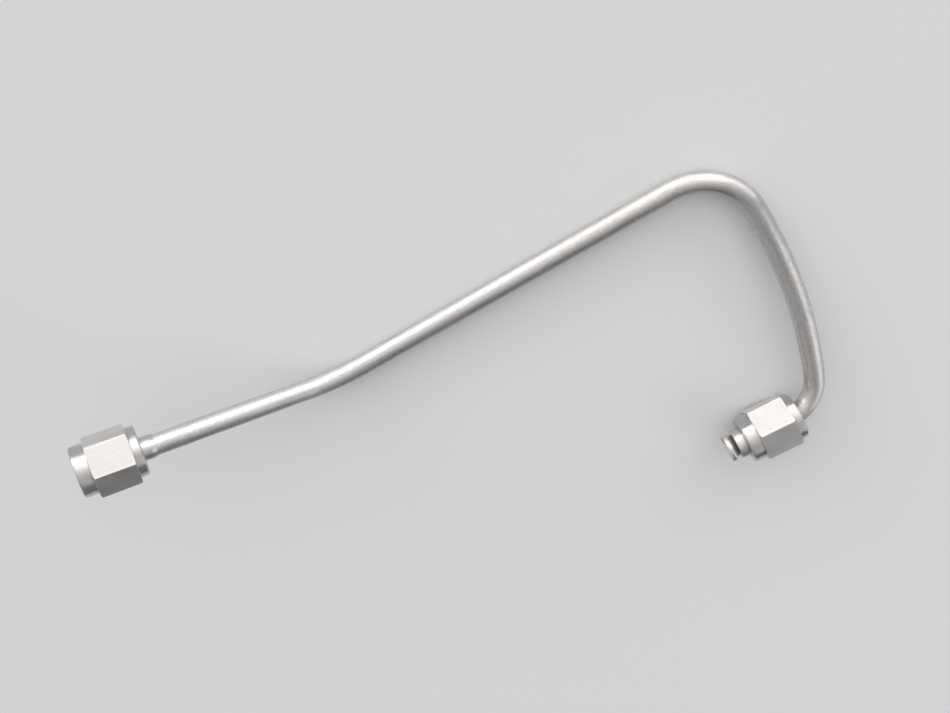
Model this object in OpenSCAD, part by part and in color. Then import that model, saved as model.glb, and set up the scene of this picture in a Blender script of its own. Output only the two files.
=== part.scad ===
// Bent metal tube, flared at both ends, with a loose sleeve and a coupling nut on each end.
// Millimetres, +Z up. The part lies on the floor, Z = 0, on its long straight and the right nut.

/* [Tube] */
// outside diameter
tube_od = 6.35; // [5.6:0.05:6.6]
// wall thickness
tube_wall = 0.89; // [0.5:0.01:1.4]

/* [Straights] */
// left straight, from the first bend to the left lip
left_straight = 63.5; // [40:0.1:120]
// long straight that lies on the floor
long_straight = 105.3; // [60:0.1:200]
// short straight between the top bend and the bowed leg
leg_straight = 4.6; // [1:0.1:60]
// right straight, from the low bend to the right lip
right_straight = 20.7; // [17:0.1:60]

/* [Bends] */
// first bend, angle turned
first_bend_angle = 38.6; // [5:0.1:90]
// first bend, centreline radius
first_bend_radius = 25.4; // [10:0.1:60]
// first bend, how far its plane is turned up from the floor
first_bend_lift = 51.1; // [0:0.1:90]
// top bend, angle turned
top_bend_angle = 87.6; // [60:0.1:110]
// top bend, centreline radius
top_bend_radius = 18; // [10:0.1:40]
// top bend, how far its plane is turned up from the floor
top_bend_lift = 2.19; // [0:0.01:15]
// bowed leg, angle turned
leg_bow_angle = 19.1; // [1:0.1:30]
// bowed leg, centreline radius
leg_bow_radius = 165; // [60:0.5:400]
// end of the leg, straight into the low bend
leg_end = 1; // [0.5:0.1:30]
// low bend, angle turned
low_bend_angle = 78.4; // [40:0.1:100]
// low bend, centreline radius
low_bend_radius = 12.7; // [10:0.1:30]
// low bend, turn of its plane about the leg
low_bend_turn = -8.5; // [-45:0.1:45]
// how much the wall draws in on each side along a bend
bend_draw = 0.03; // [0.01:0.01:0.06]

/* [Flares] */
// half angle of the flare cone
flare_angle = 37; // [30:0.5:45]
// outside diameter of the lip
flare_od = 9; // [8.4:0.05:9.3]
// flat ring at the front of the lip
lip_face = 0.25; // [0.15:0.01:0.4]
// broken edge round the lip
lip_edge = 0.12; // [0.05:0.01:0.14]

/* [Sleeves] */
// overall length
sleeve_length = 13.6; // [9:0.1:20]
// length of the full diameter of the head
sleeve_head = 3.8; // [2:0.1:5]
// wall of the tail
sleeve_tail_wall = 0.29; // [0.2:0.01:0.5]
// step from the lip down to the mouth of the sleeve
sleeve_mouth_step = 0.15; // [0.05:0.01:0.3]
// broken edge at the front of the head
sleeve_edge = 0.2; // [0.05:0.01:0.3]
// distance that the right sleeve stands back from its flare
right_sleeve_back = 1.6; // [0:0.05:4]

/* [Nuts] */
// width across the flats
nut_flats = 15.88; // [15.2:0.01:19]
// diameter of the turned collars
collar_od = 15; // [14:0.05:15.2]
// length of the front collar
front_collar = 3.9; // [2:0.05:6]
// length of the hexagon
hex_length = 11.65; // [10:0.05:16]
// length of the back collar
back_collar = 2.55; // [1.2:0.05:5]
// chamfer on the rims of the collars
rim_chamfer = 0.4; // [0.1:0.05:0.8]
// chamfer on the corners of the hexagon, measured inwards
corner_chamfer = 0.56; // [0.1:0.01:1]
// bore of the thread, at its crests
thread_bore = 9.74; // [9.5:0.01:10.4]
// depth of the thread form, kept clear by the relief and the entry
thread_depth = 0.8; // [0.4:0.05:1]
// length of the thread
thread_length = 5.8; // [3:0.1:6.2]
// length of the relief groove behind the thread
relief_length = 1.6; // [0.6:0.1:2.4]
// depth from the front rim to the inner shoulder
shoulder_depth = 12; // [11:0.1:13]
// turn of the left nut about its tube
left_nut_turn = 54.5; // [0:0.5:60]
// turn of the right nut about its tube, with one flat facing down
right_nut_turn = 29.5; // [0:0.5:60]

/* [Clearances] */
// sleeve bore over the tube, on the radius
sleeve_gap = 0.06; // [0.02:0.01:0.1]
// sleeve head through the thread, on the radius
head_gap = 0.12; // [0.05:0.01:0.3]
// sleeve head in the chamber behind the thread, on the radius
chamber_gap = 0.2; // [0.1:0.01:0.4]
// nut bore over the sleeve tail, on the radius
tail_gap = 0.18; // [0.1:0.01:0.4]
// seat between flare, sleeve and nut, along the tube
seat_gap = 0.05; // [0.02:0.01:0.1]
// nut bore over the start of the low bend, on the radius
bend_gap = 0.1; // [0.05:0.01:0.2]

/* [Placement] */
// start of the long straight, sideways
place_x = -31.59; // [-200:0.01:200]
// start of the long straight, lengthways
place_y = -16.05; // [-200:0.01:200]
// direction of the long straight on the floor
heading = 32.5; // [0:0.1:90]

/* [Hidden] */
$fn = 64;
tube_r = tube_od / 2;
bore_r = tube_r - tube_wall;
flare_r = flare_od / 2;
lip_length = tube_wall / sin(flare_angle) - lip_face / tan(flare_angle);
flare_length = lip_length + (flare_r - tube_r) / tan(flare_angle);
flare_inside = (flare_r - lip_face - bore_r) / tan(flare_angle);

thread_r = thread_bore / 2;
root_r = thread_r + thread_depth;
head_r = thread_r - head_gap;
chamber_r = head_r + chamber_gap;
sleeve_bore_r = tube_r + sleeve_gap;
tail_r = sleeve_bore_r + sleeve_tail_wall;
tail_bore_r = tail_r + tail_gap;
mouth_r = min(flare_r, head_r - sleeve_edge) - sleeve_mouth_step;
collar_r = collar_od / 2;
flat_r = nut_flats / 2;
corner_r = flat_r / cos(30);
nut_length = front_collar + hex_length + back_collar;
relief_start = thread_depth + thread_length;

// places along each end, measured back from the front of the lip
sleeve_seat = lip_length + (flare_r - mouth_r) / tan(flare_angle) + seat_gap;
shoulder_seat = chamber_r + shoulder_depth - head_r - sleeve_head - seat_gap;
left_nut_place = sleeve_seat - shoulder_seat;
right_sleeve_place = sleeve_seat + right_sleeve_back;
// the right nut has run back over the start of the low bend, as far as its bore allows
bend_ride = sqrt(2 * low_bend_radius * (tail_bore_r - tube_r - bend_gap));
right_nut_place = right_straight + bend_ride - nut_length;

// each row is a straight, a turn of the bend plane, a bend radius and a bend angle
left_run = [[0, -first_bend_lift, first_bend_radius, first_bend_angle]];
right_run = [
    [long_straight, -top_bend_lift, top_bend_radius, top_bend_angle],
    [leg_straight, 0, leg_bow_radius, leg_bow_angle],
    [leg_end, low_bend_turn, low_bend_radius, low_bend_angle]
];
// length that each straight reaches into the bend beside it
bend_lap = 0.2;

// start of the long straight: Z runs along it, X to its right
module at_start() {
    translate([place_x, place_y, tube_r])
        rotate([0, 0, heading])
            rotate([0, 90, 0])
                rotate([0, 0, -90])
                    children();
}

module through_bend(radius, angle) {
    translate([radius, 0, 0])
        rotate([0, angle, 0])
            translate([-radius, 0, 0])
                children();
}

// carries its children to the end of the last bend of a run
module walk(run, i = 0) {
    if (i < len(run))
        translate([0, 0, run[i][0]])
            rotate([0, 0, run[i][1]])
                through_bend(run[i][2], run[i][3])
                    walk(run, i + 1)
                        children();
    else
        children();
}

// lip of each end: Z points out of the mouth
module at_left_lip() {
    at_start()
        rotate([0, 180, 0])
            walk(left_run)
                translate([0, 0, left_straight])
                    children();
}

module at_right_lip() {
    at_start()
        walk(right_run)
            translate([0, 0, right_straight])
                children();
}

module tube_section(draw = 0) {
    difference() {
        circle(r = tube_r - draw);
        circle(r = bore_r + draw);
    }
}

module straight_piece(length) {
    translate([0, 0, -bend_lap])
        linear_extrude(height = length + 2 * bend_lap)
            tube_section();
}

// leaves along Z and bends towards X
module bend_piece(radius, angle) {
    translate([radius, 0, 0])
        rotate([90, 0, 180])
            rotate_extrude(angle = angle)
                translate([radius, 0])
                    tube_section(bend_draw);
}

module run_pieces(run, i = 0) {
    if (i < len(run)) {
        if (run[i][0] > 0)
            straight_piece(run[i][0]);
        translate([0, 0, run[i][0]])
            rotate([0, 0, run[i][1]]) {
                bend_piece(run[i][2], run[i][3]);
                through_bend(run[i][2], run[i][3])
                    run_pieces(run, i + 1);
            }
    }
}

// straight end from the last bend to the lip of its flare
module flared_end(length) {
    rotate_extrude()
        polygon([
            [bore_r, -bend_lap],
            [tube_r, -bend_lap],
            [tube_r, length - flare_length],
            [flare_r, length - lip_length],
            [flare_r, length - lip_edge],
            [flare_r - lip_edge, length],
            [flare_r - lip_face, length],
            [bore_r, length - flare_inside]
        ]);
}

module tube() {
    color([0.72, 0.72, 0.71])
        at_start() {
            run_pieces(right_run);
            walk(right_run)
                flared_end(right_straight);
            rotate([0, 180, 0]) {
                run_pieces(left_run);
                walk(left_run)
                    flared_end(left_straight);
            }
        }
}

// front face at Z = 0, tail towards -Z
module sleeve() {
    rotate_extrude()
        polygon([
            [mouth_r, 0],
            [head_r - sleeve_edge, 0],
            [head_r, -sleeve_edge],
            [head_r, -sleeve_head],
            [tail_r, -sleeve_head - (head_r - tail_r)],
            [tail_r, -sleeve_length],
            [sleeve_bore_r, -sleeve_length],
            [sleeve_bore_r, -(mouth_r - sleeve_bore_r) / tan(flare_angle)]
        ]);
}

// hexagon with its corners chamfered at both ends, one flat facing +X
module nut_hexagon() {
    chamfer_rise = corner_chamfer * tan(30);
    translate([0, 0, -front_collar - hex_length])
        intersection() {
            rotate([0, 0, 30])
                cylinder(r = corner_r, h = hex_length, $fn = 6);
            rotate_extrude()
                polygon([
                    [0, 0],
                    [corner_r - corner_chamfer, 0],
                    [corner_r, chamfer_rise],
                    [corner_r, hex_length - chamfer_rise],
                    [corner_r - corner_chamfer, hex_length],
                    [0, hex_length]
                ]);
        }
}

module nut_collars() {
    rotate_extrude()
        polygon([
            [0, 0],
            [collar_r - rim_chamfer, 0],
            [collar_r, -rim_chamfer],
            [collar_r, -nut_length + rim_chamfer],
            [collar_r - rim_chamfer, -nut_length],
            [0, -nut_length]
        ]);
}

// entry chamfer, thread, relief groove, sleeve chamber, shoulder and tail bore
module nut_bore() {
    rotate_extrude()
        polygon([
            [0, 1],
            [root_r + 1, 1],
            [root_r, 0],
            [thread_r, -thread_depth],
            [thread_r, -relief_start],
            [root_r, -relief_start],
            [root_r, -relief_start - relief_length],
            [chamber_r, -relief_start - relief_length],
            [chamber_r, -shoulder_depth],
            [tail_bore_r, -shoulder_depth - (chamber_r - tail_bore_r)],
            [tail_bore_r, -nut_length - 1],
            [0, -nut_length - 1]
        ]);
}

// front rim at Z = 0, body towards -Z
module coupling_nut() {
    difference() {
        union() {
            nut_collars();
            nut_hexagon();
        }
        nut_bore();
    }
}

module left_sleeve() {
    color([0.78, 0.78, 0.76])
        at_left_lip()
            translate([0, 0, -sleeve_seat])
                sleeve();
}

module left_coupling_nut() {
    color([0.82, 0.81, 0.79])
        at_left_lip()
            translate([0, 0, -left_nut_place])
                rotate([0, 0, left_nut_turn])
                    coupling_nut();
}

module right_sleeve() {
    color([0.78, 0.78, 0.76])
        at_right_lip()
            translate([0, 0, -right_sleeve_place])
                sleeve();
}

module right_coupling_nut() {
    color([0.82, 0.81, 0.79])
        at_right_lip()
            translate([0, 0, -right_nut_place])
                rotate([0, 0, right_nut_turn])
                    coupling_nut();
}

tube();
left_sleeve();
left_coupling_nut();
right_sleeve();
right_coupling_nut();
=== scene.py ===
import math

import bpy
import numpy as np
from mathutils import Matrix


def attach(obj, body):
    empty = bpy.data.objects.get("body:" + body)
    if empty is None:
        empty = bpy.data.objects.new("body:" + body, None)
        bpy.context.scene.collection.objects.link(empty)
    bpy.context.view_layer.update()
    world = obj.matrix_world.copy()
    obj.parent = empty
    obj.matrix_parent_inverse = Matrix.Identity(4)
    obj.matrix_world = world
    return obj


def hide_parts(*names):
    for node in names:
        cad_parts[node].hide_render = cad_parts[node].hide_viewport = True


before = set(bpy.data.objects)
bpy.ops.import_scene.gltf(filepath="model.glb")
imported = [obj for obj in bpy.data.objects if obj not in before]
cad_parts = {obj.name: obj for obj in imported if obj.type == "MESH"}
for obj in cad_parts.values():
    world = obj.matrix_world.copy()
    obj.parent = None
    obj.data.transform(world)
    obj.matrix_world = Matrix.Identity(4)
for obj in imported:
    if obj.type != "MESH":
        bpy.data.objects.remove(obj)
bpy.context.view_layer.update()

MM = 0.001

# Sizes of the part's source, in millimetres and degrees
TUBE_R = 3.175
BORE_R = 2.285
LEFT_STRAIGHT = 63.5
LONG_STRAIGHT = 105.3
LEG_STRAIGHT = 4.6
LEG_END = 1.0
RIGHT_STRAIGHT = 20.7
FIRST_BEND = (51.1, 25.4, 38.6)  # lift, radius, angle
TOP_BEND = (2.19, 18.0, 87.6)
LEG_BOW = (0.0, 165.0, 19.1)
LOW_BEND = (8.5, 12.7, 78.4)
PLACE = (-31.59, -16.05)
HEADING = 32.5
FLARE_ANGLE = 37.0
FLARE_R = 4.5
LIP_FACE = 0.25
LIP_EDGE = 0.12
SLEEVE_LENGTH = 13.6
SLEEVE_HEAD = 3.8
SLEEVE_EDGE = 0.2
HEAD_R = 4.75
MOUTH_R = 4.35
SLEEVE_BORE_R = 3.235
TAIL_R = 3.525
FLAT_R = 7.94
COLLAR_R = 7.5
FRONT_COLLAR = 3.9
HEX_LENGTH = 11.65
BACK_COLLAR = 2.55
RIM_CHAMFER = 0.4
CORNER_CHAMFER = 0.56
THREAD_R = 4.87
THREAD_DEPTH = 0.8
THREAD_LENGTH = 5.8
THREAD_PITCH = 1.27
THREAD_FORM = 0.686
RELIEF_LENGTH = 1.6
CHAMBER_R = 4.95
SHOULDER_DEPTH = 12.0
TAIL_BORE_R = 3.705
SEAT_GAP = 0.05
BEND_GAP = 0.1
RIGHT_SLEEVE_BACK = 1.6
LEFT_NUT_TURN = 54.5
RIGHT_NUT_TURN = 29.5

# Sizes that follow from them
TAN_FLARE = math.tan(math.radians(FLARE_ANGLE))
SIN_FLARE = math.sin(math.radians(FLARE_ANGLE))
LIP_LENGTH = (TUBE_R - BORE_R) / SIN_FLARE - LIP_FACE / TAN_FLARE
FLARE_LENGTH = LIP_LENGTH + (FLARE_R - TUBE_R) / TAN_FLARE
FLARE_INSIDE = (FLARE_R - LIP_FACE - BORE_R) / TAN_FLARE
ROOT_R = THREAD_R + THREAD_DEPTH
RELIEF_START = THREAD_DEPTH + THREAD_LENGTH
NUT_LENGTH = FRONT_COLLAR + HEX_LENGTH + BACK_COLLAR
CORNER_R = FLAT_R / math.cos(math.radians(30))
SLEEVE_SEAT = LIP_LENGTH + (FLARE_R - MOUTH_R) / TAN_FLARE + SEAT_GAP
LEFT_NUT_PLACE = SLEEVE_SEAT - (CHAMBER_R + SHOULDER_DEPTH - HEAD_R - SLEEVE_HEAD - SEAT_GAP)
RIGHT_SLEEVE_PLACE = SLEEVE_SEAT + RIGHT_SLEEVE_BACK
BEND_RIDE = math.sqrt(2 * LOW_BEND[1] * (TAIL_BORE_R - TUBE_R - BEND_GAP))
RIGHT_NUT_PLACE = RIGHT_STRAIGHT + BEND_RIDE - NUT_LENGTH

# Details that only the scene has, in millimetres where nothing else is said
ROUTE_STEP = 0.25
EVENED_FRAMES = 17  # frames over which the curvature is evened out
STRAIGHT_CURVE = 0.002  # curvature below which the tube counts as straight
FLATTENED_BEND = 15.0  # bends of this radius or less are flattened in full
FLATTENING = 0.035  # share of the tube's radius
BULGE = 0.2  # share of the flattening that comes out at the sides
TUBE_COLUMNS = 72
RING_STEP = 1.2
PLAIN_START = 3.0  # distance of the plain rings from a flare
FLARE_RUN = 2.0  # straight end of a flare's profile
LIP_ROUNDING = 0.22
FLARE_ROUNDING = 0.6
SLEEVE_COLUMNS = 96
SLEEVE_ROUNDING = 0.1
SEAT_RUN = 2.0  # straight end of the bore behind a sleeve's seat
TAPER_LENGTH = 1.4
TAPER_DROP = 0.18
NUT_STEP = 2.5  # degrees
CORNER_STEPS = (0.6, 1.2, 1.9)  # degrees to either side of a corner
HEX_ROUNDING = 0.22
HEX_GAP = 0.03  # between a collar's last ring and the hexagon
HEX_END = ((0.0, 0.10), (0.04, 0.035), (0.09, 0.0))  # depth and drop of the rounded ends
HEX_END_RINGS = (0.14, 0.19, 0.24, 0.29, 0.34, 0.42, 0.8)
HEX_MIDDLE = 1.6  # distance of the plain rings from the ends
TURNED_ROUNDING = 0.08
FRONT_RING = 0.6  # places of the extra ring on each collar, as shares of the collar
BACK_RING = 0.4
MOUTH_DEPTH = 0.016
MOUTH_INNER = 0.02
MOUTH_OUTER = 0.05
BORE_CHAMFER = 0.25
THREAD_RINGS = 16  # to a turn
THREAD_END = 0.03  # depth of the last ring
THREAD_ROOT = 0.0625  # half of the root's flat, in pitches
THREAD_FLANK = 0.3125  # in pitches
WEAR_WIDTH = 0.35
CHAMFER_SLOPE = 1 / math.tan(math.radians(30))


# The route of the tube

def shift(x=0.0, y=0.0, z=0.0):
    m = np.eye(4)
    m[:3, 3] = (x, y, z)
    return m


def turn_y(degrees):
    c, s = math.cos(math.radians(degrees)), math.sin(math.radians(degrees))
    m = np.eye(4)
    m[0, 0], m[0, 2], m[2, 0], m[2, 2] = c, s, -s, c
    return m


def turn_z(degrees):
    c, s = math.cos(math.radians(degrees)), math.sin(math.radians(degrees))
    m = np.eye(4)
    m[0, 0], m[0, 1], m[1, 0], m[1, 1] = c, -s, s, c
    return m


def follow(place, rows, last):
    """Frames along a run of straights and bends, and the frame at its end."""
    frames = []
    for straight, lift, radius, angle in rows:
        frames += [place @ shift(z=z) for z in np.arange(0, straight, ROUTE_STEP)]
        place = place @ shift(z=straight) @ turn_z(-lift)
        count = max(8, int(math.radians(angle) * radius / ROUTE_STEP))
        turns = np.linspace(0, angle, count, endpoint=False)
        frames += [place @ shift(radius) @ turn_y(turn) @ shift(-radius) for turn in turns]
        place = place @ shift(radius) @ turn_y(angle) @ shift(-radius)
    frames += [place @ shift(z=z) for z in np.linspace(0, last, int(last / ROUTE_STEP))]
    return frames, place @ shift(z=last)


START = shift(PLACE[0], PLACE[1], TUBE_R) @ turn_z(HEADING) @ turn_y(90) @ turn_z(-90)
RIGHT_ROWS = [(LONG_STRAIGHT, *TOP_BEND), (LEG_STRAIGHT, *LEG_BOW), (LEG_END, *LOW_BEND)]
left_frames, LEFT_LIP = follow(START @ turn_y(180), [(0, *FIRST_BEND)], LEFT_STRAIGHT)
right_frames, RIGHT_LIP = follow(START, RIGHT_ROWS, RIGHT_STRAIGHT)

way = np.array([f[:3, 3] for f in left_frames[:0:-1]] + [f[:3, 3] for f in right_frames])
heads = np.array([-f[:3, 2] for f in left_frames[:0:-1]] + [f[:3, 2] for f in right_frames])
reach = np.r_[0, np.cumsum(np.linalg.norm(np.diff(way, axis=0), axis=1))]
TUBE_LENGTH = reach[-1]

# One side of the tube, carried along without twist
sides = [np.array([0.0, 0.0, 1.0]) - heads[0] * heads[0][2]]
for h in heads[1:]:
    sides.append(sides[-1] - h * (sides[-1] @ h))
sides = np.array([s / np.linalg.norm(s) for s in sides])

evening = np.ones(EVENED_FRAMES) / EVENED_FRAMES
margin = EVENED_FRAMES // 2
curve = np.pad(np.gradient(heads, reach, axis=0), ((margin, margin), (0, 0)), mode="edge")
curve = np.stack([np.convolve(column, evening, mode="valid") for column in curve.T], axis=1)


def along(table, s):
    return np.stack([np.interp(s, reach, table[:, i]) for i in range(3)], axis=-1)


# Meshes

def soften(points, cut, steps=3):
    """Rounds the corners of an open profile."""
    longest = 0.45  # share of a side that one corner may take
    out = [points[0]]
    for a, b, c in zip(points, points[1:], points[2:]):
        a, b, c = map(np.array, (a, b, c))
        la, lc = np.linalg.norm(a - b), np.linalg.norm(c - b)
        p = b + (a - b) / la * min(cut, la * longest)
        q = b + (c - b) / lc * min(cut, lc * longest)
        for t in np.linspace(0, 1, steps + 1):
            out.append(tuple((1 - t) ** 2 * p + 2 * t * (1 - t) * b + t * t * q))
    out.append(points[-1])
    return out


def grid_mesh(name, rings, values, around, sharp=32):
    """A closed skin from rings of points; values are vectors kept on the points for the materials.

    The attribute "across" is the way square to the tool marks: round the ring where around is 1, from ring
    to ring where it is 0.
    """
    rings = np.asarray(rings, float)
    round_ring = np.roll(rings, -1, axis=1) - np.roll(rings, 1, axis=1)
    ring_to_ring = np.roll(rings, -1, axis=0) - np.roll(rings, 1, axis=0)
    across = np.where(np.asarray(around)[..., None] > 0.5, round_ring, ring_to_ring)
    across = across / np.maximum(np.linalg.norm(across, axis=-1, keepdims=True), 1e-9)
    rows, columns = rings.shape[:2]
    index = np.arange(rows * columns).reshape(rows, columns)
    below = np.roll(index, -1, axis=0)
    corners = [index, np.roll(index, -1, axis=1), np.roll(below, -1, axis=1), below]
    faces = np.stack(corners, axis=-1).reshape(-1, 4)
    a, b, c, d = (rings.reshape(-1, 3)[faces[:, i]] - rings[0, 0] for i in range(4))
    if np.einsum("ij,ij->", a, np.cross(b, c) + np.cross(c, d)) < 0:
        faces = faces[:, ::-1]
    mesh = bpy.data.meshes.new(name)
    mesh.from_pydata((rings.reshape(-1, 3) * MM).tolist(), [], faces.tolist())
    for key, value in {**values, "across": across}.items():
        layer = mesh.attributes.new(key, "FLOAT_VECTOR", "POINT")
        layer.data.foreach_set("vector", np.asarray(value, np.float32).reshape(-1))
    mesh.validate()
    mesh.polygons.foreach_set("use_smooth", [True] * len(mesh.polygons))
    mesh.set_sharp_from_angle(angle=math.radians(sharp))
    obj = bpy.data.objects.new(name, mesh)
    bpy.context.scene.collection.objects.link(obj)
    return obj


def make_tube():
    angles = np.linspace(0, 2 * math.pi, TUBE_COLUMNS, endpoint=False)
    outer = soften([(0, FLARE_R - LIP_EDGE), (LIP_EDGE, FLARE_R), (LIP_LENGTH, FLARE_R),
                    (FLARE_LENGTH, TUBE_R), (FLARE_LENGTH + FLARE_RUN, TUBE_R)], LIP_ROUNDING, 4)
    inner = soften([(0, FLARE_R - LIP_FACE), (FLARE_INSIDE, BORE_R), (FLARE_INSIDE + FLARE_RUN, BORE_R)],
                   FLARE_ROUNDING, 4)
    middle = np.arange(FLARE_LENGTH + PLAIN_START, TUBE_LENGTH - FLARE_LENGTH - PLAIN_START, RING_STEP)
    profile = outer + [(s, TUBE_R) for s in middle] + [(TUBE_LENGTH - d, r) for d, r in outer[::-1]]
    profile += [(TUBE_LENGTH - d, r) for d, r in inner] + [(s, BORE_R) for s in middle[::-2]] + inner[::-1]
    rings, lay = [], []
    for s, r in profile:
        p, t, n, k = along(way, s), along(heads, s), along(sides, s), along(curve, s)
        b = np.cross(t, n)
        ring = np.outer(np.cos(angles), n) + np.outer(np.sin(angles), b)
        bend = np.linalg.norm(k)
        if bend > STRAIGHT_CURVE:
            facing = (ring @ k / bend) ** 2
            flattened = FLATTENING * min(1.0, bend * FLATTENED_BEND)
            ring = ring * (1 - flattened * (facing - BULGE * (1 - facing)))[:, None]
        rings.append(p + r * ring)
        lay.append(np.c_[np.full(TUBE_COLUMNS, s), np.cos(angles), np.sin(angles)])
    return grid_mesh("tube_skin", rings, {"lay": lay}, np.ones((len(rings), TUBE_COLUMNS)), sharp=50)


def place_rings(rings, place):
    rings = np.asarray(rings, float)
    return rings @ place[:3, :3].T + place[:3, 3]


def make_sleeve(name, place):
    angles = np.linspace(0, 2 * math.pi, SLEEVE_COLUMNS, endpoint=False)
    even = np.ones(SLEEVE_COLUMNS)
    seat = (MOUTH_R - SLEEVE_BORE_R) / TAN_FLARE
    profile = soften([(-seat, SLEEVE_BORE_R), (0, MOUTH_R),
                      (0, HEAD_R - SLEEVE_EDGE), (-SLEEVE_EDGE, HEAD_R), (-SLEEVE_HEAD, HEAD_R),
                      (-SLEEVE_HEAD - (HEAD_R - TAIL_R), TAIL_R), (-SLEEVE_LENGTH + TAPER_LENGTH, TAIL_R),
                      (-SLEEVE_LENGTH, TAIL_R - TAPER_DROP), (-SLEEVE_LENGTH, SLEEVE_BORE_R),
                      (-seat - SEAT_RUN, SLEEVE_BORE_R)], SLEEVE_ROUNDING)
    rings = [np.c_[r * np.cos(angles), r * np.sin(angles), z * even] for z, r in profile]
    kept = [np.c_[z * even, r * even, 0 * even] for z, r in profile]
    around = np.zeros((len(rings), SLEEVE_COLUMNS))
    return grid_mesh(name, place_rings(rings, place), {"turned": kept}, around)


def make_nut(name, place):
    extra = [corner + side * step
             for corner in np.arange(30, 360, 60) for step in CORNER_STEPS for side in (-1, 1)]
    degrees = np.unique(np.round(np.r_[np.arange(0, 360, NUT_STEP), extra], 3))
    theta = np.radians(degrees)
    off_flat = np.radians((degrees + 30) % 60 - 30)
    off_corner = np.radians((degrees + 60) % 60 - 30)
    face = np.floor((degrees + 30) / 60) % 6
    even = np.ones_like(theta)

    # the outline of the hexagon, with an arc at each corner
    centre = CORNER_R - HEX_ROUNDING / math.sin(math.radians(60))
    inside = HEX_ROUNDING ** 2 - (centre * np.sin(off_corner)) ** 2
    arc = centre * np.cos(off_corner) + np.sqrt(np.maximum(inside, 0))
    touch = math.atan2(HEX_ROUNDING * math.sin(math.radians(30)),
                       centre + HEX_ROUNDING * math.cos(math.radians(30)))
    hexagon = np.where(np.abs(off_corner) <= touch, arc, FLAT_R / np.cos(off_flat))

    levels = []  # height, radii, share of the surface that is a flat

    def turned(points):
        for z, r in soften(points, TURNED_ROUNDING):
            levels.append((z, r * even, 0 * even))

    def hexagon_end(z, depth, drop):
        cone = CORNER_R - CORNER_CHAMFER + depth * CHAMFER_SLOPE
        levels.append((z, np.minimum(hexagon - drop, cone), (hexagon <= cone).astype(float)))

    hex_front, hex_back = -FRONT_COLLAR, -FRONT_COLLAR - HEX_LENGTH
    end_rings = [*HEX_END, *((depth, 0.0) for depth in HEX_END_RINGS)]
    turned([(-MOUTH_DEPTH, ROOT_R - MOUTH_INNER), (0, ROOT_R + MOUTH_OUTER),
            (0, COLLAR_R - RIM_CHAMFER), (-RIM_CHAMFER, COLLAR_R),
            (-FRONT_COLLAR * FRONT_RING, COLLAR_R), (hex_front + HEX_GAP, COLLAR_R)])
    for depth, drop in end_rings:
        hexagon_end(hex_front - depth, depth, drop)
    for depth in np.linspace(HEX_MIDDLE, HEX_LENGTH - HEX_MIDDLE, 6):
        levels.append((hex_front - depth, hexagon, even))
    for depth, drop in end_rings[::-1]:
        hexagon_end(hex_back + depth, depth, drop)
    turned([(hex_back - HEX_GAP, COLLAR_R), (hex_back - BACK_COLLAR * BACK_RING, COLLAR_R),
            (-NUT_LENGTH + RIM_CHAMFER, COLLAR_R), (-NUT_LENGTH, COLLAR_R - RIM_CHAMFER),
            (-NUT_LENGTH, TAIL_BORE_R + BORE_CHAMFER), (-NUT_LENGTH + BORE_CHAMFER, TAIL_BORE_R),
            (-SHOULDER_DEPTH - (CHAMBER_R - TAIL_BORE_R), TAIL_BORE_R), (-SHOULDER_DEPTH, CHAMBER_R),
            (-RELIEF_START - RELIEF_LENGTH, CHAMBER_R), (-RELIEF_START - RELIEF_LENGTH, ROOT_R),
            (-RELIEF_START, ROOT_R)])
    for depth in np.arange(RELIEF_START, THREAD_END, -THREAD_PITCH / THREAD_RINGS):
        phase = (depth / THREAD_PITCH - theta / (2 * math.pi)) % 1.0
        form = np.clip((np.abs(phase - 0.5) - THREAD_ROOT) / THREAD_FLANK, 0, 1)
        thread = THREAD_R + THREAD_FORM * (1 - form)
        levels.append((-depth, np.maximum(thread, ROOT_R - depth), 0 * even))

    rings, kept, flats = [], [], []
    for z, radius, flat in levels:
        wear = np.exp(-np.abs(off_corner) * FLAT_R / WEAR_WIDTH) * flat
        rings.append(np.c_[radius * np.cos(theta), radius * np.sin(theta), z * even])
        kept.append(np.c_[z * even, radius, flat])
        flats.append(np.c_[radius * np.sin(off_flat), face, wear])
    along_axis = np.array(kept)[..., 2]
    return grid_mesh(name, place_rings(rings, place), {"turned": kept, "flats": flats}, along_axis, sharp=28)


# Colours of the steel
DRAWN_DARK = (0.565, 0.548, 0.537, 1)
DRAWN_PALE = (0.705, 0.69, 0.68, 1)
MOTTLE = (0.545, 0.527, 0.515, 1)
WARM = (0.64, 0.595, 0.565, 1)
SPECK_DARK = (0.485, 0.465, 0.453, 1)
SPECK_PALE = (0.78, 0.775, 0.765, 1)
SCUFF = (0.36, 0.335, 0.32, 1)
NICK = (0.25, 0.24, 0.23, 1)
NUT_DARK = (0.5, 0.487, 0.476, 1)
NUT_PALE = (0.625, 0.611, 0.6, 1)
SLEEVE_DARK = (0.515, 0.502, 0.49, 1)
SLEEVE_PALE = (0.635, 0.62, 0.608, 1)
TURNED_CLOUD = (0.64, 0.618, 0.6, 1)
WORN_CORNER = (0.74, 0.73, 0.715, 1)

# Other values of the finishes
TURNED_ROUGHNESS = 0.36
BUMP_STRENGTH = 0.3
BUMP_DEPTH = 0.05 * MM
HAIR_WIDTH = 0.008
TUBE_STRETCH = 0.88  # how far the gloss is stretched across the tool marks, from 0 to 1
RUBBED_STRETCH = 0.76
COLLAR_STRETCH = 0.91
FLAT_STRETCH = 0.94
RUBBED_FROM = (214, 232)  # the rubbed leg fades in and out here, in millimetres along the tube
RUBBED_TO = (268, 282)


# Materials

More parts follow.
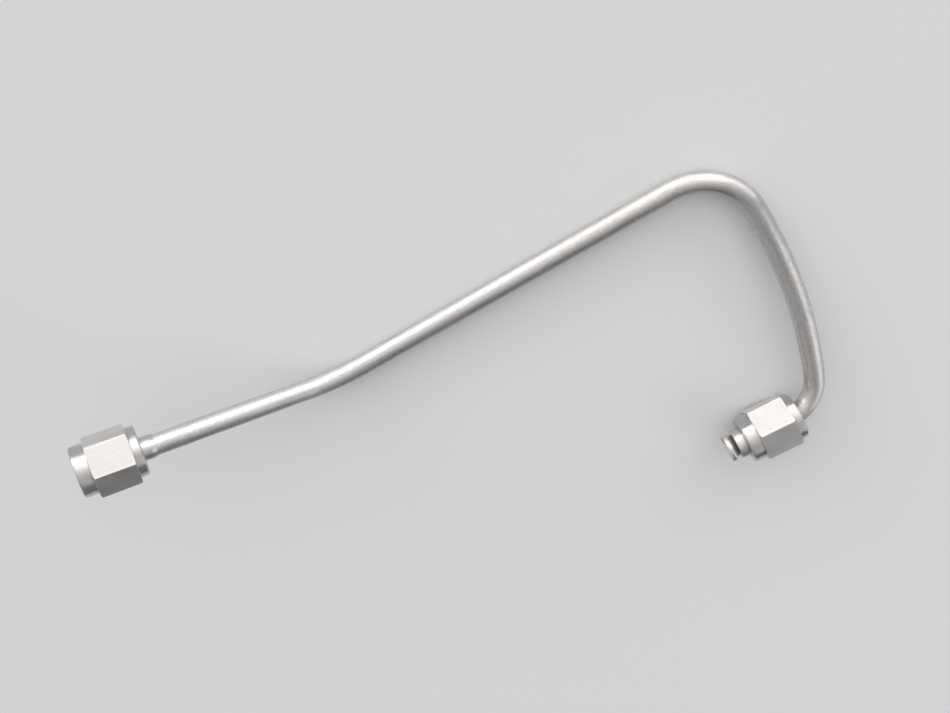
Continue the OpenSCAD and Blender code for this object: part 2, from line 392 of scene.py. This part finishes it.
class Tree:
    """The nodes of one material."""

    def __init__(self, name):
        self.material = bpy.data.materials.new(name)
        self.material.use_nodes = True
        self.nodes = self.material.node_tree.nodes
        self.links = self.material.node_tree.links
        self.shader = self.nodes["Principled BSDF"]

    def put(self, socket, value):
        if isinstance(value, bpy.types.NodeSocket):
            self.links.new(value, socket)
        else:
            socket.default_value = value

    def kept(self, key):
        node = self.nodes.new("ShaderNodeAttribute")
        node.attribute_name = key
        return node.outputs["Vector"]

    def split(self, vector):
        node = self.nodes.new("ShaderNodeSeparateXYZ")
        self.put(node.inputs[0], vector)
        return node.outputs

    def join(self, x, y, z):
        node = self.nodes.new("ShaderNodeCombineXYZ")
        for socket, value in zip(node.inputs, (x, y, z)):
            self.put(socket, value)
        return node.outputs[0]

    def scaled(self, vector, factors):
        node = self.nodes.new("ShaderNodeVectorMath")
        node.operation = "MULTIPLY"
        self.put(node.inputs[0], vector)
        node.inputs[1].default_value = factors
        return node.outputs[0]

    def calc(self, operation, a, b=0.0):
        node = self.nodes.new("ShaderNodeMath")
        node.operation = operation
        self.put(node.inputs[0], a)
        self.put(node.inputs[1], b)
        return node.outputs[0]

    def product(self, a, b):
        return self.calc("MULTIPLY", a, b)

    def total(self, a, b):
        return self.calc("ADD", a, b)

    def less(self, a, b):
        return self.calc("SUBTRACT", a, b)

    def noise(self, vector, detail, rough, warp=0.0):
        node = self.nodes.new("ShaderNodeTexNoise")
        self.put(node.inputs["Vector"], vector)
        node.inputs["Scale"].default_value = 1.0
        node.inputs["Detail"].default_value = detail
        node.inputs["Roughness"].default_value = rough
        node.inputs["Distortion"].default_value = warp
        return node.outputs["Fac"]

    def span(self, value, low, high, to_low=0.0, to_high=1.0):
        node = self.nodes.new("ShaderNodeMapRange")
        node.clamp = True
        self.put(node.inputs["Value"], value)
        for key, number in (("From Min", low), ("From Max", high), ("To Min", to_low), ("To Max", to_high)):
            node.inputs[key].default_value = number
        return node.outputs["Result"]

    def mix(self, share, a, b, kind="RGBA"):
        node = self.nodes.new("ShaderNodeMix")
        node.data_type = kind
        for key, value in (("Factor", share), ("A", a), ("B", b)):
            self.put(node.inputs[key], value)
        return node.outputs["Result"]

    def bump(self, height):
        node = self.nodes.new("ShaderNodeBump")
        node.inputs["Strength"].default_value = BUMP_STRENGTH
        node.inputs["Distance"].default_value = BUMP_DEPTH
        self.put(node.inputs["Height"], height)
        return node.outputs["Normal"]

    def brush(self, stretch):
        """Stretches the gloss across the tool marks."""
        turn = self.nodes.new("ShaderNodeVectorTransform")
        turn.vector_type = "VECTOR"
        turn.convert_from = "OBJECT"
        turn.convert_to = "WORLD"
        self.put(turn.inputs[0], self.kept("across"))
        self.put(self.shader.inputs["Tangent"], turn.outputs[0])
        self.put(self.shader.inputs["Anisotropic"], stretch)

    def finish(self, colour, rough, height):
        self.shader.inputs["Metallic"].default_value = 1.0
        self.put(self.shader.inputs["Base Color"], colour)
        self.put(self.shader.inputs["Roughness"], rough)
        self.put(self.shader.inputs["Normal"], self.bump(height))
        return self.material


def hairlines(t, vector, where):
    """Sparse thin scratches: the contour of one noise, kept where another is high."""
    line = t.calc("ABSOLUTE", t.less(t.noise(vector, 2.0, 0.5), 0.5))
    return t.product(t.span(line, 0.0, HAIR_WIDTH, 1.0, 0.0), t.span(where, 0.56, 0.62))


def tube_steel():
    t = Tree("drawn_steel")
    lay = t.kept("lay")
    run = t.split(lay)[0]

    def noise(lengthwise, crosswise, detail, rough, warp=0.0):
        return t.noise(t.scaled(lay, (lengthwise, crosswise, crosswise)), detail, rough, warp)

    drawn = noise(0.03, 6.0, 8.0, 0.7)
    grain = noise(0.3, 30.0, 3.0, 0.6)
    cloud = noise(0.05, 1.1, 4.0, 0.55)
    mottle = noise(0.5, 2.2, 6.0, 0.68, 0.3)
    speckle = noise(0.8, 4.4, 4.0, 0.68)
    scuff = noise(0.09, 4.2, 3.0, 0.6, 0.2)
    nick = t.span(noise(0.6, 6.0, 2.0, 0.5), 0.735, 0.765)
    warm = t.span(noise(0.02, 1.8, 3.0, 0.5), 0.5, 0.72, 0.0, 0.3)
    hair = hairlines(t, t.scaled(lay, (0.25, 1.6, 1.6)), cloud)

    # the leg is rubbed duller than the rest
    rubbed = t.product(t.span(run, *RUBBED_FROM), t.span(run, *RUBBED_TO, 1.0, 0.0))

    def by_rubbing(plain, dull):
        return t.span(rubbed, 0.0, 1.0, plain, dull)

    worn = by_rubbing(0.48, 0.75)
    colour = t.mix(t.span(drawn, 0.34, 0.66), DRAWN_DARK, DRAWN_PALE)
    colour = t.mix(t.span(mottle, 0.42, 0.66, 0.0, 0.6), colour, MOTTLE)
    colour = t.mix(warm, colour, WARM)
    colour = t.mix(t.product(t.span(speckle, 0.52, 0.66), worn), colour, SPECK_DARK)
    colour = t.mix(t.product(t.span(speckle, 0.44, 0.34), t.product(worn, 0.6)), colour, SPECK_PALE)
    colour = t.mix(t.product(t.span(scuff, 0.6, 0.68), by_rubbing(0.12, 0.6)), colour, SCUFF)
    colour = t.mix(t.product(nick, 0.6), colour, NICK)

    rough = t.span(cloud, 0.3, 0.7, 0.28, 0.36)
    rough = t.total(rough, t.span(drawn, 0.3, 0.7, -0.06, 0.06))
    rough = t.total(rough, t.span(mottle, 0.4, 0.7, -0.02, 0.05))
    rough = t.total(rough, t.product(rubbed, 0.05))

    height = t.total(t.product(drawn, 0.7), t.product(grain, 0.3))
    height = t.less(height, t.product(t.total(nick, hair), 0.25))
    height = t.total(height, t.product(t.product(speckle, worn), 0.5))
    t.brush(by_rubbing(TUBE_STRETCH, RUBBED_STRETCH))
    return t.finish(colour, rough, height)


def turned_steel(name, dark, pale, brushed):
    """Rings of the lathe on turned faces, straight lines on flats; a sleeve reads its missing flats as 0."""
    t = Tree(name)
    height, radius, flat = t.split(t.kept("turned"))
    offset, face, wear = t.split(t.kept("flats"))

    def spread(crosswise, lengthwise, apart):
        return t.join(t.product(offset, crosswise), t.product(height, lengthwise), t.product(face, apart))

    rings = t.noise(t.join(t.product(t.total(height, radius), 5.0), 0.0, 0.0), 6.0, 0.7)
    lines = t.noise(spread(2.6, 0.035, 7.3), 8.0, 0.74)
    marks = t.mix(flat, rings, lines, kind="FLOAT")
    cloud = t.noise(spread(0.22, 0.16, 5.7), 5.0, 0.6)
    hair = hairlines(t, spread(0.35, 0.2, 1.0), cloud)

    colour = t.mix(t.span(marks, 0.34, 0.66), dark, pale)
    colour = t.mix(t.span(cloud, 0.4, 0.7, 0.0, 0.3), colour, TURNED_CLOUD)
    colour = t.mix(t.product(wear, 0.6), colour, WORN_CORNER)
    rough = t.span(cloud, 0.3, 0.7, TURNED_ROUGHNESS - 0.03, TURNED_ROUGHNESS + 0.03)
    rough = t.total(rough, t.span(marks, 0.3, 0.7, -0.06, 0.06))
    if brushed:
        t.brush(t.span(flat, 0.0, 1.0, COLLAR_STRETCH, FLAT_STRETCH))
    return t.finish(colour, rough, t.less(marks, t.product(hair, 0.3)))


# The part
tube_finish = tube_steel()
nut_finish = turned_steel("nut_steel", NUT_DARK, NUT_PALE, True)
sleeve_finish = turned_steel("sleeve_steel", SLEEVE_DARK, SLEEVE_PALE, False)

tube = make_tube()
left_sleeve = make_sleeve("left_sleeve_skin", LEFT_LIP @ shift(z=-SLEEVE_SEAT))
left_nut = make_nut("left_nut_skin", LEFT_LIP @ shift(z=-LEFT_NUT_PLACE) @ turn_z(LEFT_NUT_TURN))
right_sleeve = make_sleeve("right_sleeve_skin", RIGHT_LIP @ shift(z=-RIGHT_SLEEVE_PLACE))
right_nut = make_nut("right_nut_skin", RIGHT_LIP @ shift(z=-RIGHT_NUT_PLACE) @ turn_z(RIGHT_NUT_TURN))

skins = [  # skin, node that it replaces, body that it rides on, slot, finish
    (tube, "tube", "tube", "tube", tube_finish),
    (left_sleeve, "left_sleeve", "left_sleeve", "sleeve", sleeve_finish),
    (left_nut, "left_coupling_nut", "left_nut", "nut", nut_finish),
    (right_sleeve, "right_sleeve", "right_sleeve", "sleeve", sleeve_finish),
    (right_nut, "right_coupling_nut", "right_nut", "nut", nut_finish),
]
for skin, node, body, slot, finish in skins:
    skin.data.materials.append(finish)
    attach(skin, body)
    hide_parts(node)

# Sizes of the stage, in metres, degrees and watts
FLOOR_R = 3.4
FLOOR_GREY = (0.66, 0.66, 0.66, 1)
FLOOR_ROUGHNESS = 0.9
BRIGHT_SIDE = (-0.32, 0.947, 0.0)
WORLD_LEAST = 0.12
WORLD_RISE = 1.68
WORLD_CURVE = 1.5
LAMPS = [  # name, place, width and height, power
    ("key", (-1.0, 4.0, 0.8), (8.0, 1.52), 70),
    ("side", (2.42, -0.73, 1.35), (1.9, 1.7), 12.9),
    ("fill", (0.25, 0.81, 0.66), (0.5, 0.35), 0.3),
    ("bridge", (2.6, 3.0, 1.04), (4.0, 1.0), 30),
    ("back", (-3.6, 1.7, 1.1), (3.2, 1.0), 20),
    ("low", (-0.44, -0.87, 0.64), (0.9, 0.6), 0.45),
]
CAMERA_PLACE = (0.0034, 0.12974, 0.2407)
CAMERA_TILT = -31
SENSOR_WIDTH = 36.0  # millimetres
FOCAL_PIXELS = 900
PHOTO_WIDTH = 950  # pixels


# The stage

def make_floor(scene):
    rim = np.radians(np.arange(0, 360, 3))
    points = np.c_[FLOOR_R * np.cos(rim), FLOOR_R * np.sin(rim), 0 * rim]
    mesh = bpy.data.meshes.new("floor")
    mesh.from_pydata(points.tolist(), [], [list(range(len(rim)))])
    floor = bpy.data.objects.new("floor", mesh)
    scene.collection.objects.link(floor)
    material = bpy.data.materials.new("floor")
    material.use_nodes = True
    shader = material.node_tree.nodes["Principled BSDF"]
    shader.inputs["Base Color"].default_value = FLOOR_GREY
    shader.inputs["Roughness"].default_value = FLOOR_ROUGHNESS
    mesh.materials.append(material)


def make_world(scene):
    """A plain white sky that grows brighter towards one side."""
    world = bpy.data.worlds.new("studio")
    scene.world = world
    world.use_nodes = True
    nodes, links = world.node_tree.nodes, world.node_tree.links
    background = nodes["Background"]
    background.inputs["Color"].default_value = (1, 1, 1, 1)
    direction = nodes.new("ShaderNodeTexCoord")
    towards = nodes.new("ShaderNodeVectorMath")
    towards.operation = "DOT_PRODUCT"
    towards.inputs[1].default_value = BRIGHT_SIDE
    share = nodes.new("ShaderNodeMapRange")
    share.inputs["From Min"].default_value = -1.0
    rise = nodes.new("ShaderNodeMath")
    rise.operation = "POWER"
    rise.inputs[1].default_value = WORLD_CURVE
    level = nodes.new("ShaderNodeMath")
    level.operation = "MULTIPLY_ADD"
    level.inputs[1].default_value = WORLD_RISE
    level.inputs[2].default_value = WORLD_LEAST
    links.new(direction.outputs["Generated"], towards.inputs[0])
    links.new(towards.outputs["Value"], share.inputs["Value"])
    links.new(share.outputs["Result"], rise.inputs[0])
    links.new(rise.outputs[0], level.inputs[0])
    links.new(level.outputs[0], background.inputs["Strength"])


def soft_lamp(scene, name, place, size, power):
    """A rectangular lamp that faces the origin."""
    lamp = bpy.data.lights.new(name, "AREA")
    lamp.shape = "RECTANGLE"
    lamp.size, lamp.size_y = size
    lamp.energy = power
    x, y, z = place
    obj = bpy.data.objects.new(name, lamp)
    obj.location = place
    obj.rotation_euler = (math.atan2(math.hypot(x, y), z), 0, math.atan2(x, -y))
    scene.collection.objects.link(obj)


def make_camera(scene):
    camera = bpy.data.cameras.new("camera")
    camera.sensor_width = SENSOR_WIDTH
    camera.lens = SENSOR_WIDTH * FOCAL_PIXELS / PHOTO_WIDTH
    obj = bpy.data.objects.new("camera", camera)
    obj.location = CAMERA_PLACE
    obj.rotation_euler = (math.radians(CAMERA_TILT), 0, 0)
    scene.collection.objects.link(obj)
    scene.camera = obj


stage = bpy.context.scene
stage.view_settings.view_transform = "Standard"
make_floor(stage)
make_world(stage)
for lamp_row in LAMPS:
    soft_lamp(stage, *lamp_row)
make_camera(stage)
